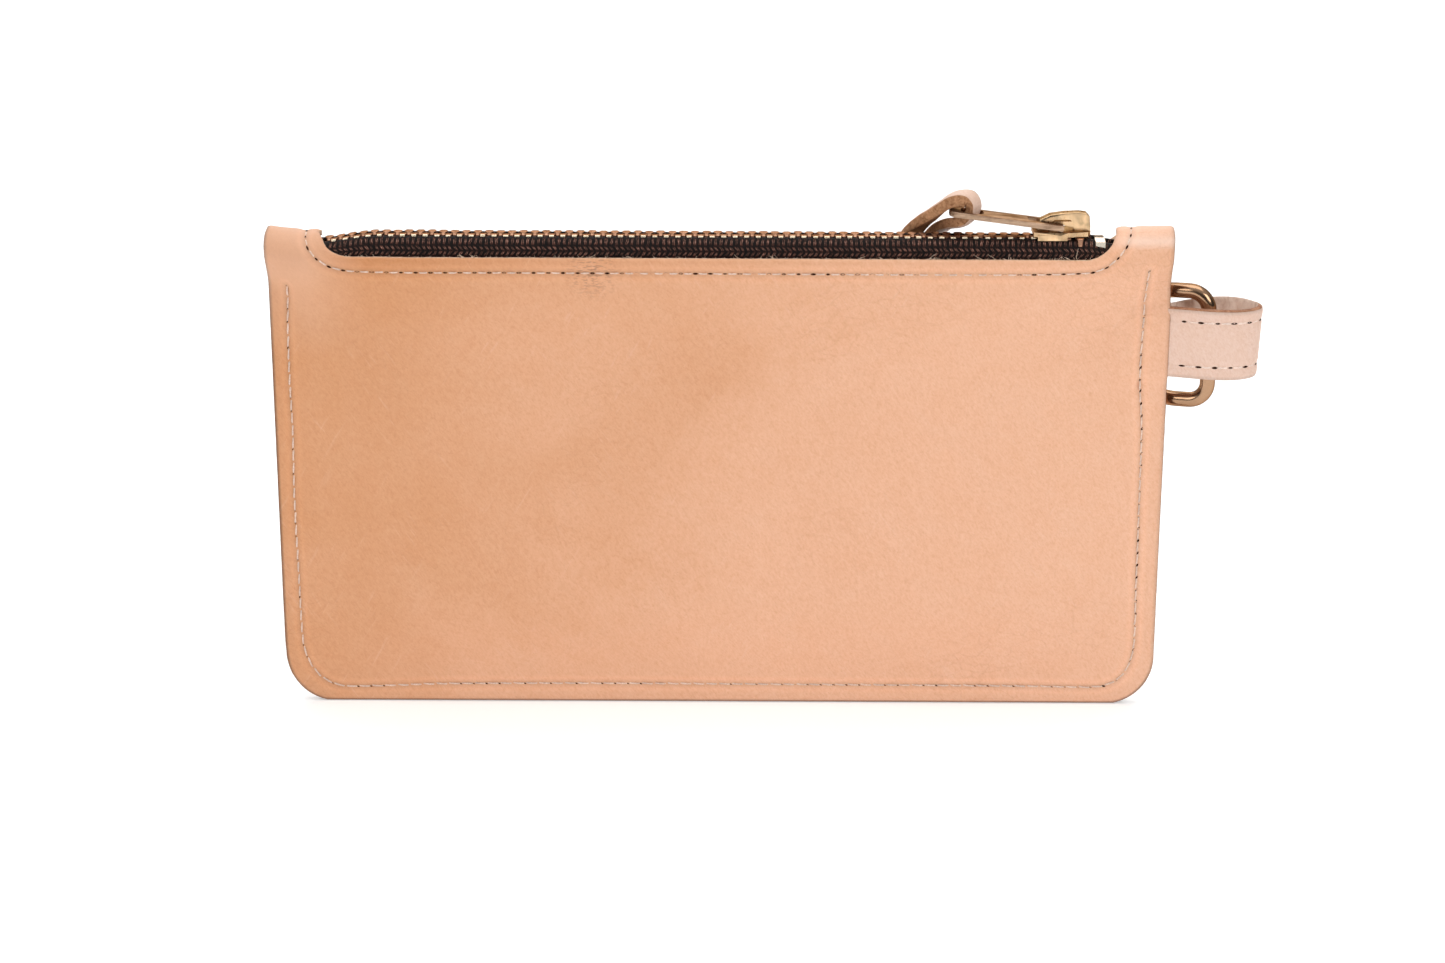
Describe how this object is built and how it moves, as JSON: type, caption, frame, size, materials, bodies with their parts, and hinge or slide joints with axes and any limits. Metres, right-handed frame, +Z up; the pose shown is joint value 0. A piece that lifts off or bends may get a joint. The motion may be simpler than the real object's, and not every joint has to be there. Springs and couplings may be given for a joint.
{
  "type": "zippered pouch",
  "caption": "Flat zippered pouch in natural folded leather, with a brass zipper along the top, a leather lace on its pull, and a side tab that holds a D-ring.",
  "frame": {"origin": "middle of the bottom edge", "axes": "+X along the zipper towards its closed end, +Y from the front panel to the back panel, +Z up from the bottom edge to the fold"},
  "size_m": [0.2279, 0.0193, 0.1258],
  "materials": {
    "body_leather": "natural vegetable-tanned grain, soft satin",
    "tab_leather": "pale natural grain, raw edge",
    "lace_leather": "pale grain outside, brown suede inside",
    "zipper_tape": "dark brown woven tape",
    "teeth_brass": "gold brass, tumbled",
    "slider_brass": "pale gold, brushed",
    "pull_brass": "streaky antique brass",
    "ring_brass": "antique brass, polished",
    "thread": "cream polyester thread"
  },
  "bodies": {
    "root": {"leather_body": "body_leather", "zipper_tape_front": "zipper_tape", "zipper_tape_rear": "zipper_tape", "teeth_front": "teeth_brass", "teeth_rear": "teeth_brass", "top_stop_front": "teeth_brass", "top_stop_rear": "teeth_brass", "bottom_stop": "teeth_brass", "side_tab": "tab_leather", "window_seam_thread": "thread", "side_seam_thread": "thread", "tab_thread": "thread"},
    "slider": {"slider_body": "slider_brass", "slider_crown": "slider_brass"},
    "lock": {"lock_spring": "slider_brass"},
    "pull": {"pull_tab": "pull_brass"},
    "lace": {"pull_lace": "lace_leather"},
    "ring": {"d_ring": "ring_brass"}
  },
  "joints": [
    {"name": "slider_travel", "type": "slide", "parent": "root", "child": "slider", "axis": [1, 0, 0], "range_m": [-0.1575, 0], "deforming": ["teeth_front", "teeth_rear"]},
    {"name": "pull_swing", "type": "hinge", "parent": "slider", "child": "pull", "pos_m": [0.077, 0, 0.117], "axis": [0, 1, 0], "range_deg": [0, 154], "deforming": ["pull_lace"]},
    {"name": "lace_swing", "type": "hinge", "parent": "pull", "child": "lace", "pos_m": [0.0568, 0, 0.1192], "axis": [0, 1, 0], "range_deg": [-150, 0], "deforming": ["pull_lace"]},
    {"name": "lock_lift", "type": "hinge", "parent": "slider", "child": "lock", "pos_m": [0.0801, 0, 0.11842], "axis": [0, 1, 0], "range_deg": [0, 4], "stiffness_Nm_per_rad": 0.0001},
    {"name": "ring_swing", "type": "hinge", "parent": "root", "child": "ring", "pos_m": [0.1129, 0.0015, 0.0876], "axis": [0, 0, 1], "range_deg": [-310, 0]}
  ],
  "couplings": [
    {"joint": "lace_swing", "follows": "pull_swing", "ratio": -0.9}
  ]
}
